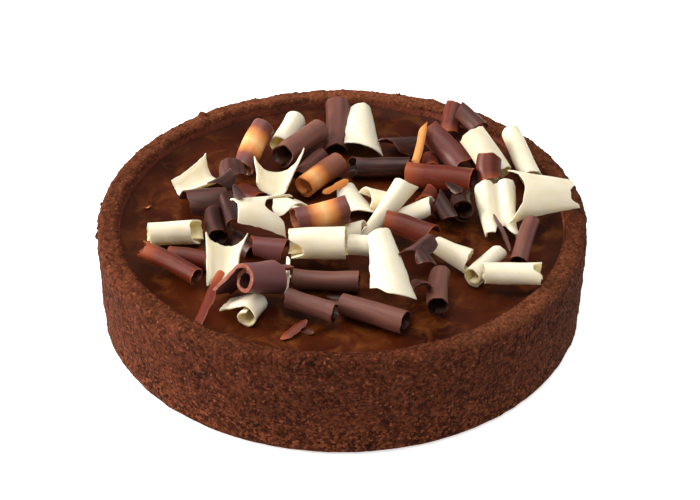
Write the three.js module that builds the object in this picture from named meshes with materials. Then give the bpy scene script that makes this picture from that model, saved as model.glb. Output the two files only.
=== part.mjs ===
// A chocolate tart: a cocoa shortcrust shell, filled with ganache and strewn with chocolate shavings.
// Lengths are in millimetres and +Z is up. The origin is the middle of the flat underside.
import * as THREE from "three";

const { degToRad, lerp, smoothstep } = THREE.MathUtils;

// ---------------------------------------------------------------- driving dimensions
const crust = {
  radius: 45, // outside of the wall
  height: 20, // average height of the rim
  wall: 4.2, // thickness of the wall at the rim
  lean: 0.4, // how much narrower the foot is than the rim
  floor: 4, // thickness of the base
  outerEdge: 1.9, // radius of the rim's outer edge
  innerEdge: 1.3, // radius of the rim's inner edge
  footEdge: 1.1, // radius of the edge that the tart stands on
  segments: 120, // round the tart
  crumb: 0.26, // depth of the crumbly relief
  crumbSize: 2.3, // spacing of that relief
  swell: 0.35, // slow rise and fall of the rim
  swellSize: 16,
};
const ganache = {
  belowRim: 2.9, // how far the flat of the filling lies below the rim
  climb: 1.0, // how far the filling climbs up the wall
  climbWidth: 4.2, // width of the band that climbs
  gap: 0.3, // between the filling and the crust
  ripple: 0.12, // slow rise and fall of its top
  rippleSize: 11,
  segments: 60,
};
const shaving = {
  thickness: 0.6,
  pitch: 0.95, // from one layer of a roll to the next
  stepsPerTurn: 10,
  gap: 0.25, // between a shaving and what it lies on
};
const creaseAngle = degToRad(25); // where the lobes of a double roll part, above the line between their middles

// How each kind of shaving is rolled. turns is how far the sheet goes round and flare how much wider the front
// end is. The slants are how much further each end reaches at the sheet's outer edge than at its inner one, the
// horns how far the corners stick out of each end, and waist how much narrower the sheet is half-way along. tail
// is how much of the sheet lies straight beyond the roll, and a sheet with two lobes is rolled in from both edges.
const plain = { startSlant: 0, endSlant: 0, startHorn: 0, endHorn: 0, waist: 0, tail: 0, lobes: 1, sections: 1 };
const curved = { ...plain, sections: 2 };
const kinds = {
  roll: { ...plain, turns: 1.15, flare: 0.05, startSlant: 0.6, endSlant: -0.5 },
  cone: { ...plain, turns: 1.1, flare: 0.4, startSlant: -1, endSlant: 1.5 },
  scroll: { ...plain, turns: 1.1, flare: 0.1, startSlant: 0.6, endSlant: -1, tail: 5 },
  double: { ...plain, turns: 1.1, flare: -0.25, startSlant: 1, endSlant: -2, lobes: 2 },
  leaf: { ...curved, turns: 0.3, flare: 0.9, startSlant: 1, endSlant: -2.5, endHorn: -1 },
  fan: { ...curved, turns: 0.62, flare: 0.9, startSlant: 1, endSlant: 1.5, endHorn: 0.8 },
  horned: { ...curved, turns: 0.42, flare: 0.7, startSlant: 1, endSlant: -2, endHorn: 2.4, waist: 0.1 },
  forked: { ...curved, turns: 0.5, flare: 0.5, startSlant: 1, endSlant: -3, endHorn: 1.3, waist: 0.1 },
  star: { ...curved, turns: 0.42, flare: 0.15, startSlant: -1, startHorn: 1, endHorn: 1.6, waist: 0.25 },
  wing: { ...plain, turns: 1.2, flare: -0.15, startSlant: 5, endSlant: 2, tail: 8 },
  half: { ...plain, turns: 0.55, flare: 0.1, startSlant: 1.6, endSlant: -1.2 },
  flake: { ...curved, turns: 0.34, flare: 0.1, startSlant: 2.5, endSlant: -1.5, waist: -0.3 },
};

// The shavings in the order in which they fell: kind, chocolate, x, y, heading of the front end, spin about the
// roll, length, radius and, for one that leans in its own way, how far its front end is raised. Angles are in
// degrees.
const strewn = [
  // along the back wall
  ["half", "dark", -1.2, 31.8, 88, 0, 16, 2.6],
  ["leaf", "white", 3.7, 30.5, -90, -10, 16.5, 2.7],
  ["flake", "dark", 11.5, 25, 30, 0, 7, 2.8],
  ["roll", "white", -10.9, 28.2, 72, 0, 9.5, 2.5],
  ["roll", "dark", -8.2, 22.3, 50, 0, 12, 2.6, 3],
  ["roll", "caramel", -17.2, 20.2, 68, 0, 10.5, 2.6],
  ["half", "milk", 17, 20, 90, 0, 4, 1.8],
  ["half", "milk", 20.3, 22, -50, 0, 11, 2.7],
  ["flake", "caramel", 15.3, 21, -105, 45, 7.5, 1.2],
  ["half", "milk", 21.5, 33, 75, 0, 7, 2],
  ["half", "dark", 25, 30.5, -45, 0, 6, 2],
  ["roll", "white", 27.4, 16.4, -54, 0, 9.8, 3.1],
  ["roll", "white", 34.5, 17.8, -75, 0, 13, 2.4],
  // on the left
  ["horned", "white", -28, 12, 38, 180, 8.5, 2.6],
  ["half", "dark", -25.6, 5.4, 10, 0, 7.5, 3.1, -6],
  ["roll", "white", -30.3, -6, 5, 0, 9.7, 2.5],
  ["roll", "milk", -27.4, -13.2, -15, 0, 7.2, 2.1],
  ["roll", "milk", -30.6, -16, -36, 0, 13, 2, -3],
  ["half", "milk", -17.3, 8.2, -40, 0, 5.5, 2.4],
  ["flake", "dark", -20.5, 11.5, 100, 0, 5.4, 2.5],
  ["roll", "dark", -22.8, -3.6, -80, 0, 8, 2.3, 0],
  ["half", "dark", -17.5, -7.5, -50, 0, 6, 2],
  ["half", "dark", -20, -2.6, -78, 60, 9, 1.8, 0],
  // in the middle
  ["half", "milk", -13.1, -11.4, -8, 0, 6.3, 2.3, -3],
  ["roll", "dark", -6.2, 17.2, 60, 0, 9, 1.9, 0],
  ["forked", "white", -12.4, 9.6, 85, 180, 8.2, 3.1],
  ["horned", "white", -15.9, -7.2, 14, 20, 8.2, 2.8, -20],
  ["roll", "caramel", -4, 13.2, 52, 0, 10.6, 2.5],
  ["leaf", "white", 2.2, 7, -75, 0, 11, 2.4],
  ["half", "white", 7, 5, 10, 0, 6, 2.4],
  ["roll", "dark", 7.2, 16.6, 0, 0, 11.2, 2.3],
  ["half", "milk", 18, 4, -70, 40, 5, 1.8],
  ["half", "white", 13, 1, 5, 0, 8, 2],
  ["fan", "white", 7.5, 0, 50, 0, 13, 1.3],
  ["half", "white", 1, -5.4, 0, 0, 6.6, 2],
  ["roll", "caramel", -3.9, -5, 20, 0, 10, 2.8, 2],
  ["roll", "milk", 18.6, 11.2, -20, 0, 13, 2.8],
  ["roll", "dark", 22.4, 2.4, -92, 0, 7, 2.4],
  ["half", "milk", 12.2, -5.8, -24, 0, 9.4, 2.4, -6],
  ["roll", "white", -4.3, -13.1, -2, 0, 10, 3.2, 2],
  ["roll", "white", 3.8, -13.8, -12, 0, 5.3, 2.2, 3],
  ["roll", "dark", 5.5, -30, -26, 0, 12, 2.4],
  ["leaf", "white", 7.8, -21, -82, 0, 16.6, 2.7, -15],
  // on the right
  ["half", "milk", 27.6, 10.7, 90, 0, 5, 2.4],
  ["double", "white", 29, 0.8, -86, 0, 13, 1.9, -12],
  ["horned", "white", 37.8, 2.5, 190, -30, 10.6, 3.2, 3],
  ["roll", "dark", 33.2, -9.8, -106, 0, 10.5, 2.1, -12],
  ["flake", "dark", 13.6, -16.6, 58, 0, 8, 2, -12],
  ["cone", "white", 19.8, -13, -32, 0, 7, 1.9, -9],
  ["roll", "white", 25.8, -15.6, -126, 0, 9, 2.1, 0],
  ["roll", "white", 29.9, -20.8, -3, 0, 10, 2.3, 2],
  ["roll", "dark", 17.2, -23.2, -95, 0, 10, 2.3],
  ["flake", "dark", 13.8, -24.4, -78, 0, 7, 1.7],
  // in front
  ["star", "white", -20.8, -17.2, 88, 180, 7.2, 3.5],
  ["scroll", "white", -15.5, -28.2, -113, 190, 5, 2],
  ["wing", "milk", -14.2, -25, -138, 205, 8, 3.3],
  ["roll", "dark", -5.1, -28.8, -27, 0, 9.4, 2.1, 0],
  ["roll", "dark", -2.8, -19.9, -4, 0, 11.8, 2.1, 0],
];

// ---------------------------------------------------------------- relief
// A repeatable number from 0 to 1 for each cell of a lattice.
function lattice(i, j, k) {
  const wave = Math.sin(i * 127.1 + j * 311.7 + k * 74.7) * 43758.5453;
  return wave - Math.floor(wave);
}

// Smooth noise from -1 to 1 at a point, with one lump for each cell of the given size.
function noise(x, y, z, size) {
  const cell = [x, y, z].map((c) => Math.floor(c / size));
  const [fx, fy, fz] = [x, y, z].map((c, axis) => smoothstep(c / size - cell[axis], 0, 1));
  let sum = 0;
  for (const dx of [0, 1])
    for (const dy of [0, 1])
      for (const dz of [0, 1]) {
        const share = (dx ? fx : 1 - fx) * (dy ? fy : 1 - fy) * (dz ? fz : 1 - fz);
        sum += share * lattice(cell[0] + dx, cell[1] + dy, cell[2] + dz);
      }
  return 2 * sum - 1;
}

// Points on a quarter circle, from one angle to the other.
function arc(centreR, centreZ, radius, from, to, steps) {
  return Array.from({ length: steps + 1 }, (_, i) => {
    const angle = degToRad(lerp(from, to, i / steps));
    return new THREE.Vector2(centreR + radius * Math.cos(angle), centreZ + radius * Math.sin(angle));
  });
}

// LatheGeometry turns its profile about Y: stand it up so that it turns about Z.
function turned(profile, segments) {
  return new THREE.LatheGeometry(profile, segments).rotateX(Math.PI / 2);
}

// Moves every vertex of a geometry by what shift(point) returns.
function reshape(geometry, shift) {
  const position = geometry.getAttribute("position");
  const point = new THREE.Vector3();
  for (let i = 0; i < position.count; i++) {
    point.fromBufferAttribute(position, i);
    position.setXYZ(i, ...point.clone().add(shift(point)).toArray());
  }
  return geometry;
}

// ---------------------------------------------------------------- crust
const innerRadius = crust.radius - crust.wall;

function crustShell() {
  const { radius, height, lean, floor, outerEdge, innerEdge, footEdge } = crust;
  const foot = radius - lean;
  const wallRows = 5;
  const profile = [
    new THREE.Vector2(0, 0),
    new THREE.Vector2((foot - footEdge) / 2, 0),
    ...arc(foot - footEdge, footEdge, footEdge, -90, 0, 2),
    ...Array.from({ length: wallRows }, (_, i) => {
      const share = (i + 1) / (wallRows + 1);
      return new THREE.Vector2(lerp(foot, radius, share), lerp(footEdge, height - outerEdge, share));
    }),
    ...arc(radius - outerEdge, height - outerEdge, outerEdge, 0, 90, 3),
    ...arc(innerRadius + innerEdge, height - innerEdge, innerEdge, 90, 180, 2),
    new THREE.Vector2(innerRadius, floor),
    new THREE.Vector2(innerRadius / 2, floor),
    new THREE.Vector2(0, floor),
  ];
  const shell = turned(profile, crust.segments);
  return reshape(shell, ({ x, y, z }) => {
    const r = Math.hypot(x, y);
    const onWall = smoothstep(r, innerRadius, radius) * smoothstep(z, 0, footEdge);
    const onRim = smoothstep(z, height - outerEdge, height);
    const bump = crust.crumb * noise(x, y, z, crust.crumbSize);
    const rise = crust.swell * noise(x, y, 0, crust.swellSize) + bump;
    return new THREE.Vector3((x / (r || 1)) * bump * onWall, (y / (r || 1)) * bump * onWall, rise * onRim);
  });
}

// ---------------------------------------------------------------- filling
function filling() {
  const { belowRim, climb, climbWidth, gap, ripple } = ganache;
  const edge = innerRadius - gap;
  const flat = crust.height - belowRim;
  const bandRows = 4;
  const band = Array.from({ length: bandRows + 1 }, (_, i) => {
    const share = 1 - i / bandRows;
    return new THREE.Vector2(edge - climbWidth * (1 - share), flat + climb * share ** 2);
  });
  const top = [0.75, 0.5, 0.25].map((share) => new THREE.Vector2((edge - climbWidth) * share, flat));
  const profile = [
    new THREE.Vector2(0, crust.floor + gap),
    new THREE.Vector2(edge, crust.floor + gap),
    ...band,
    ...top,
    new THREE.Vector2(0, flat),
  ];
  return reshape(turned(profile, ganache.segments), ({ x, y, z }) => {
    const onTop = z > crust.height / 2 ? 1 : 0;
    return new THREE.Vector3(0, 0, onTop * ripple * noise(x, y, 0, ganache.rippleSize));
  });
}

// ---------------------------------------------------------------- shavings
// How long the rolled part of a sheet is, from edge to edge.
function rolledWidth(kind, radius) {
  return kind.turns * 2 * Math.PI * radius;
}

// The cross-section of a sheet at share v of its width, with the roll along X: the y and z of its outer face, and
// the direction in which that face looks.
function section(kind, radius, width, v) {
  if (kind.lobes === 2) {
    const side = v < 0.5 ? 1 : -1;
    const angle = creaseAngle + Math.PI * kind.turns * width * Math.abs(2 * v - 1);
    const middle = radius * Math.cos(creaseAngle) + shaving.thickness / 2;
    const out = [-side * Math.cos(angle), Math.sin(angle)];
    return [side * middle + radius * out[0], radius * out[1], ...out];
  }
  const rolled = rolledWidth(kind, radius);
  const across = (v * (rolled + kind.tail)) / rolled;
  const turn = kind.turns * width * (Math.min(across, 1) - 0.5);
  const r = radius - shaving.pitch * (kind.turns / 2 - turn);
  const angle = Math.PI / 2 + 2 * Math.PI * turn;
  const out = [Math.cos(angle), Math.sin(angle)];
  const straight = Math.max(0, across - 1) * rolled;
  return [r * out[0] - straight * out[1], r * out[1] + straight * out[0], ...out];
}

// A point of a shaving's sheet. u runs along the roll and v round it, from the inner edge to the outer one;
// side is +1 on the outer face of the sheet and -1 on the inner one.
function sheetPoint(kind, length, radius, u, v, side) {
  const edge = v - 0.5;
  const start = -length / 2 + kind.startSlant * edge - kind.startHorn * (2 * edge) ** 2;
  const end = length / 2 + kind.endSlant * edge + kind.endHorn * (2 * edge) ** 2;
  const along = lerp(start, end, u);
  const width = 1 - kind.waist * (1 - (2 * u - 1) ** 2);
  const wider = radius * (1 + kind.flare * (along / length + 0.5));
  const [y, z, outY, outZ] = section(kind, wider, width, v);
  const inward = ((1 - side) * shaving.thickness) / 2;
  return [along, y - outY * inward, z - outZ * inward];
}

// The closed solid of one shaving: its outer face, its inner face and the four edges between them.
function shavingGeometry(kind, length, radius) {
  const along = kind.sections;
  const wide = kind.turns * (1 + kind.tail / rolledWidth(kind, radius));
  const round = 2 * Math.max(2, Math.round((wide * shaving.stepsPerTurn) / 2));
  const points = [];
  const faces = [];
  const at = (face, i, j) => face * (along + 1) * (round + 1) + i * (round + 1) + j;
  const quad = (a, b, c, d) => faces.push(a, c, b, a, d, c);
  for (const side of [1, -1])
    for (let i = 0; i <= along; i++)
      for (let j = 0; j <= round; j++)
        points.push(...sheetPoint(kind, length, radius, i / along, j / round, side));
  for (let i = 0; i < along; i++)
    for (let j = 0; j < round; j++) {
      quad(at(0, i, j), at(0, i + 1, j), at(0, i + 1, j + 1), at(0, i, j + 1));
      quad(at(1, i, j), at(1, i, j + 1), at(1, i + 1, j + 1), at(1, i + 1, j));
    }
  for (let j = 0; j < round; j++) {
    quad(at(0, 0, j), at(0, 0, j + 1), at(1, 0, j + 1), at(1, 0, j));
    quad(at(0, along, j), at(1, along, j), at(1, along, j + 1), at(0, along, j + 1));
  }
  for (let i = 0; i < along; i++) {
    quad(at(0, i, 0), at(1, i, 0), at(1, i + 1, 0), at(0, i + 1, 0));
    quad(at(0, i, round), at(0, i + 1, round), at(1, i + 1, round), at(1, i, round));
  }
  return new THREE.BufferGeometry()
    .setAttribute("position", new THREE.Float32BufferAttribute(points, 3))
    .setIndex(faces);
}

// ---------------------------------------------------------------- what the shavings fall on
// The height of everything laid down so far, on a square grid.
class Ground {
  constructor(halfWidth, cell) {
    this.cell = cell;
    this.half = halfWidth;
    this.side = Math.ceil((2 * halfWidth) / cell);
    this.heights = new Float64Array(this.side ** 2).fill(-Infinity);
  }

  // Calls visit(cell index, height) for every grid point that lies under or over a triangle of the mesh.
  scan(mesh, visit) {
    mesh.updateMatrixWorld();
    const position = mesh.geometry.getAttribute("position");
    const index = mesh.geometry.index;
    const corner = [0, 1, 2].map(() => new THREE.Vector3());
    for (let t = 0; t < index.count; t += 3) {
      corner.forEach((c, k) => {
        c.fromBufferAttribute(position, index.getX(t + k)).applyMatrix4(mesh.matrixWorld);
      });
      const [a, b, c] = corner;
      const area = (b.x - a.x) * (c.y - a.y) - (b.y - a.y) * (c.x - a.x);
      if (Math.abs(area) < 1e-9) continue;
      const [left, right] = this.span(a.x, b.x, c.x);
      const [low, high] = this.span(a.y, b.y, c.y);
      for (let row = low; row <= high; row++)
        for (let column = left; column <= right; column++) {
          const x = column * this.cell - this.half;
          const y = row * this.cell - this.half;
          const shareB = ((x - a.x) * (c.y - a.y) - (y - a.y) * (c.x - a.x)) / area;
          const shareC = ((b.x - a.x) * (y - a.y) - (b.y - a.y) * (x - a.x)) / area;
          if (shareB < 0 || shareC < 0 || shareB + shareC > 1) continue;
          visit(row * this.side + column, a.z + shareB * (b.z - a.z) + shareC * (c.z - a.z));
        }
    }
  }

  // The first and last grid line between the lowest and highest of three coordinates.
  span(...values) {
    const clamp = (n) => Math.min(this.side - 1, Math.max(0, n));
    return [
      clamp(Math.floor((Math.min(...values) + this.half) / this.cell)),
      clamp(Math.ceil((Math.max(...values) + this.half) / this.cell)),
    ];
  }

  // Adds a mesh to the ground, one cell wider than it is.
  lay(mesh) {
    this.scan(mesh, (i, height) => {
      for (const row of [-this.side, 0, this.side])
        for (const column of [-1, 0, 1])
          this.heights[i + row + column] = Math.max(this.heights[i + row + column] ?? 0, height);
    });
  }

  // How far a mesh has to rise for its underside to clear the ground.
  clearance(mesh) {
    let rise = -Infinity;
    this.scan(mesh, (i, height) => {
      rise = Math.max(rise, this.heights[i] - height);
    });
    return rise;
  }
}

const tiltLimit = 33;
const tiltStep = 3;

// Lets a shaving fall where it is: of all tilts it takes the one that brings its middle lowest, unless it has a
// tilt of its own.
function settle(mesh, heading, spin, ground, ownTilt) {
  const turn = (tilt) => mesh.rotation.set(degToRad(spin), degToRad(-tilt), degToRad(heading), "ZYX");
  const [first, last] = ownTilt === undefined ? [-tiltLimit, tiltLimit] : [ownTilt, ownTilt];
  let best = { height: Infinity, tilt: 0 };
  for (let tilt = first; tilt <= last; tilt += tiltStep) {
    turn(tilt);
    mesh.position.z = 0;
    const height = ground.clearance(mesh) + shaving.gap;
    if (height < best.height) best = { height, tilt };
  }
  turn(best.tilt);
  mesh.position.z = best.height;
  ground.lay(mesh);
}

// ---------------------------------------------------------------- the tart
const finishes = {
  crust: { color: 0x6b3a28, roughness: 0.95 },
  ganache: { color: 0x3a1a0e, roughness: 0.3 },
  white: { color: 0xf3e6c4, roughness: 0.5 },
  milk: { color: 0x8a4a35, roughness: 0.45 },
  dark: { color: 0x5a3d38, roughness: 0.45 },
  caramel: { color: 0xb8713f, roughness: 0.45 },
};

function piece(name, geometry, finish) {
  const mesh = new THREE.Mesh(geometry, new THREE.MeshStandardMaterial({ ...finishes[finish], metalness: 0 }));
  mesh.name = name;
  return mesh;
}

const tart = new THREE.Group();
tart.name = "chocolate_tart";
tart.add(piece("crust", crustShell(), "crust"));
tart.add(piece("ganache", filling(), "ganache"));

const ground = new Ground(crust.radius + 2, 0.25);
tart.children.forEach((mesh) => ground.lay(mesh));

strewn.forEach(([kind, chocolate, x, y, heading, spin, length, radius, ownTilt], i) => {
  const name = `${chocolate}_shaving_${String(i + 1).padStart(2, "0")}`;
  const mesh = piece(name, shavingGeometry(kinds[kind], length, radius), chocolate);
  mesh.position.set(x, y, 0);
  settle(mesh, heading, spin, ground, ownTilt);
  tart.add(mesh);
});

export default tart;
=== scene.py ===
import itertools
import math

import bmesh
import bpy
import numpy as np
from mathutils import Euler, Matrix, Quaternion, Vector
from mathutils.bvhtree import BVHTree


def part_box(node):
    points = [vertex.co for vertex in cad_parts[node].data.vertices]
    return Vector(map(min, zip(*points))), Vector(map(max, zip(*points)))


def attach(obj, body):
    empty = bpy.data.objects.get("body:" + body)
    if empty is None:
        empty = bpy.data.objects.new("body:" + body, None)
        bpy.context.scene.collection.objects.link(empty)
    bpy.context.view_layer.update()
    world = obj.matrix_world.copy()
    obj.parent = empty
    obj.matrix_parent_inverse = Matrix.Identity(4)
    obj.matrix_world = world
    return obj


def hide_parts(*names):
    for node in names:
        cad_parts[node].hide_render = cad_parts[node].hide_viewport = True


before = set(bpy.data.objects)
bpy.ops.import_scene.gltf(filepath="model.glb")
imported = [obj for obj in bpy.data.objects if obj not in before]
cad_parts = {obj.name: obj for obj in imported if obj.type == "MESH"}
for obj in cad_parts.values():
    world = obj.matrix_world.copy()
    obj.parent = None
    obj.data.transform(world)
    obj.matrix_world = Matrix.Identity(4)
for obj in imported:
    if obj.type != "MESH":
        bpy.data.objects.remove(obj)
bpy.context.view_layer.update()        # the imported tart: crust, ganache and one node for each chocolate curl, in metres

mm = 0.001
print("frame loaded:", len(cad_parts), "nodes")


# noise, with all lengths in millimetres
def lattice(i, j, k):
    wave = np.sin(i * 127.1 + j * 311.7 + k * 74.7) * 43758.5453
    return wave - np.floor(wave)


def softNoise(points, size, seed=0):
    # smooth lumps between -1 and 1, one for each cell of that size
    scaled = np.asarray(points, float) / size + 31.0 * seed
    cell = np.floor(scaled)
    blend = scaled - cell
    blend = blend * blend * (3 - 2 * blend)
    total = np.zeros(scaled.shape[:-1])
    for corner in itertools.product((0, 1), repeat=3):
        share = np.prod(np.where(corner, blend, 1 - blend), axis=-1)
        total += share * lattice(*np.moveaxis(cell + corner, -1, 0))
    return 2 * total - 1


def grainNoise(points, size):
    # distance to the nearest grain's middle, in cells, and that grain's own random number
    scaled = np.asarray(points, float) / size
    cell = np.floor(scaled)
    nearest = np.full(scaled.shape[:-1], 9.0)
    own = np.zeros_like(nearest)
    for step in itertools.product((-1, 0, 1), repeat=3):
        home = cell + step
        i, j, k = np.moveaxis(home, -1, 0)
        middle = home + np.stack([lattice(i + 7, j, k), lattice(i, j + 7, k), lattice(i, j, k + 7)], -1)
        gap = np.linalg.norm(middle - scaled, axis=-1)
        own = np.where(gap < nearest, lattice(i + 3, j + 5, k), own)
        nearest = np.minimum(nearest, gap)
    return nearest, own


def fade(x, low, high):
    share = np.clip((x - low) / (high - low), 0, 1)
    return share * share * (3 - 2 * share)


def makePiece(name, points, faces, material, slotName, nodes=(), **values):
    # points in millimetres; values are numbers for each point that the material reads
    mesh = bpy.data.meshes.new(name)
    mesh.from_pydata((np.asarray(points, float) * mm).tolist(), [], faces)
    for label, numbers in values.items():
        layer = mesh.attributes.new(label, "FLOAT", "POINT")
        layer.data.foreach_set("value", np.broadcast_to(numbers, len(mesh.vertices)).astype(np.float32))
    mesh.shade_smooth()
    mesh.materials.append(material)
    piece = bpy.data.objects.new(name, mesh)
    bpy.context.scene.collection.objects.link(piece)
    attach(piece, "root")
    if nodes:
        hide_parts(*nodes)
    return piece


def turnedFaces(rows, around):
    # quads between rings of points, with a fan on the first and the last point of the profile
    ring = np.arange(around)
    after = (ring + 1) % around
    faces = []
    for row in range(rows - 1):
        a = row * around
        b = a + around
        faces += np.stack([a + ring, a + after, b + after, b + ring], 1).tolist()
    first = rows * around
    faces += np.stack([np.full(around, first), after, ring], 1).tolist()
    last = (rows - 1) * around
    faces += np.stack([np.full(around, first + 1), last + ring, last + after], 1).tolist()
    return faces


def turnedPoints(profile, around):
    # profile rows of (r, z) as rings round Z, in the order that turnedFaces joins
    angle = np.arange(around) * 2 * math.pi / around
    r = profile[:, 0, None]
    z = np.broadcast_to(profile[:, 1, None], (len(profile), around))
    return np.stack([r * np.cos(angle), r * np.sin(angle), z], -1)


def arcRows(centreR, centreZ, radius, fromAngle, toAngle, steps):
    angle = np.radians(np.linspace(fromAngle, toAngle, steps + 1))
    return [(centreR + radius * math.cos(a), centreZ + radius * math.sin(a)) for a in angle]


def lineRows(start, end, steps):
    # the points after start, up to and with end
    share = np.arange(1, steps + 1)[:, None] / steps
    return (np.array(start) * (1 - share) + np.array(end) * share).tolist()


def paint(hexColour):
    channels = [int(hexColour[i:i + 2], 16) / 255 for i in (1, 3, 5)]
    return [c / 12.92 if c <= 0.04045 else ((c + 0.055) / 1.055) ** 2.4 for c in channels] + [1]


class Finish:
    # one material: its shader, and short ways to add the nodes that feed it
    def __init__(self, name, **sockets):
        self.material = bpy.data.materials.new(name)
        self.material.use_nodes = True
        self.tree = self.material.node_tree
        self.shader = self.tree.nodes["Principled BSDF"]
        for socket, value in sockets.items():
            self.shader.inputs[socket.replace("_", " ")].default_value = value

    def add(self, kind, inputs=None, **settings):
        node = self.tree.nodes.new(kind)
        for key, value in settings.items():
            setattr(node, key, value)
        for key, value in (inputs or {}).items():
            self.feed(node.inputs[key], value)
        return node

    def feed(self, socket, value):
        if isinstance(value, bpy.types.NodeSocket):
            self.tree.links.new(value, socket)
        else:
            socket.default_value = value

    def value(self, label):
        return self.add("ShaderNodeAttribute", attribute_name=label).outputs["Fac"]

    def place(self):
        return self.add("ShaderNodeTexCoord").outputs["Object"]

    def sheet(self, alongScale, acrossScale):
        # the curl's own sheet, in millimetres along the roll and round it, stretched for streaks
        flat = self.add("ShaderNodeUVMap", uv_map="sheet").outputs["UV"]
        stretch = (alongScale, acrossScale, 1)
        return self.add("ShaderNodeMapping", {"Vector": flat, "Scale": stretch}).outputs[0]

    def noise(self, vector, scale, detail=3, rough=0.55, warp=0):
        inputs = {"Vector": vector, "Scale": scale, "Detail": detail, "Roughness": rough, "Distortion": warp}
        return self.add("ShaderNodeTexNoise", inputs).outputs["Fac"]

    def span(self, value, low, high, toLow=0.0, toHigh=1.0):
        inputs = {"Value": value, "From Min": low, "From Max": high, "To Min": toLow, "To Max": toHigh}
        return self.add("ShaderNodeMapRange", inputs).outputs["Result"]

    def maths(self, operation, a, b):
        return self.add("ShaderNodeMath", {0: a, 1: b}, operation=operation).outputs[0]

    def mix(self, share, a, b):
        node = self.add("ShaderNodeMix", data_type="RGBA")
        for index, value in ((0, share), (6, a), (7, b)):
            self.feed(node.inputs[index], paint(value) if isinstance(value, str) else value)
        return node.outputs[2]

    def ramp(self, value, *stops):
        node = self.add("ShaderNodeValToRGB", {"Fac": value})
        marks = node.color_ramp.elements
        while len(marks) < len(stops):
            marks.new(0.5)
        for mark, (position, colour) in zip(marks, stops):
            mark.position = position
            mark.color = paint(colour)
        return node.outputs["Color"]

    def bump(self, height, distance, strength=1.0, under=None):
        inputs = {"Height": height, "Distance": distance * mm, "Strength": strength}
        node = self.add("ShaderNodeBump", inputs)
        if under is not None:
            self.feed(node.inputs["Normal"], under)
        return node.outputs["Normal"]

    def finish(self, **sockets):
        for socket, value in sockets.items():
            self.feed(self.shader.inputs[socket.replace("_", " ")], value)
        return self.material


cameraSetup = {
    "distance": 380,       # from the middle of the underside
    "elevation": 36.7,
    "aim": (1.52, 0, 11.6),
    "lens": 102.8,
    "sensor": 36,
    "nearest": 0.01,       # m
    "roll": 0.26,
}


def makeCamera():
    lens = bpy.data.cameras.new("camera")
    lens.lens = cameraSetup["lens"]
    lens.sensor_width = cameraSetup["sensor"]
    lens.clip_start = cameraSetup["nearest"]
    camera = bpy.data.objects.new("camera", lens)
    bpy.context.scene.collection.objects.link(camera)
    elevation = math.radians(cameraSetup["elevation"])
    place = Vector((0, -math.cos(elevation), math.sin(elevation))) * cameraSetup["distance"] * mm
    aim = (Vector(cameraSetup["aim"]) * mm - place).to_track_quat("-Z", "Y")
    roll = Euler((0, 0, math.radians(cameraSetup["roll"]))).to_quaternion()
    camera.location = place
    camera.rotation_euler = (aim @ roll).to_euler()
    bpy.context.scene.camera = camera


makeCamera()
print("camera set")


# lengths in metres
studio = {
    "world": 0.34,
    "floorSide": 6.0,
    "floorColour": (0.93, 0.93, 0.93, 1),
    "floorGlow": 0.65,
    "aimHeight": 0.01,
    # name: where it stands, side, power (W), tint
    "lights": {
        "keyLeft": ((-0.54, 0.06, 0.22), 0.32, 5.8, "#fff0e4"),
        "overhead": ((-0.04, 0.0, 0.62), 0.55, 3.0, "#fffdf8"),
        "fillFront": ((0.25, -0.55, 0.40), 0.50, 0.1, "#fffaf4"),
    },
}


def makeStudio():
    floor = Finish("floor", Base_Color=studio["floorColour"], Roughness=0.8, Emission_Color=(1, 1, 1, 1),
                   Emission_Strength=studio["floorGlow"])
    half = studio["floorSide"] / 2
    mesh = bpy.data.meshes.new("floor")
    corners = [(-half, -half, 0), (half, -half, 0), (half, half, 0), (-half, half, 0)]
    mesh.from_pydata(corners, [], [(0, 1, 2, 3)])
    mesh.materials.append(floor.material)
    plane = bpy.data.objects.new("floor", mesh)
    bpy.context.scene.collection.objects.link(plane)
    world = bpy.data.worlds.new("softWhite")
    world.use_nodes = True
    world.node_tree.nodes["Background"].inputs["Color"].default_value = (1, 1, 1, 1)
    world.node_tree.nodes["Background"].inputs["Strength"].default_value = studio["world"]
    bpy.context.scene.world = world
    for name, (place, side, power, tint) in studio["lights"].items():
        lamp = bpy.data.lights.new(name, "AREA")
        lamp.size = side
        lamp.energy = power
        lamp.color = paint(tint)[:3]
        light = bpy.data.objects.new(name, lamp)
        light.location = place
        aim = Vector((0, 0, studio["aimHeight"])) - Vector(place)
        light.rotation_euler = aim.to_track_quat("-Z", "Y").to_euler()
        bpy.context.scene.collection.objects.link(light)
    bpy.context.scene.view_settings.view_transform = "Standard"


makeStudio()
print("floor and lights set")


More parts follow.
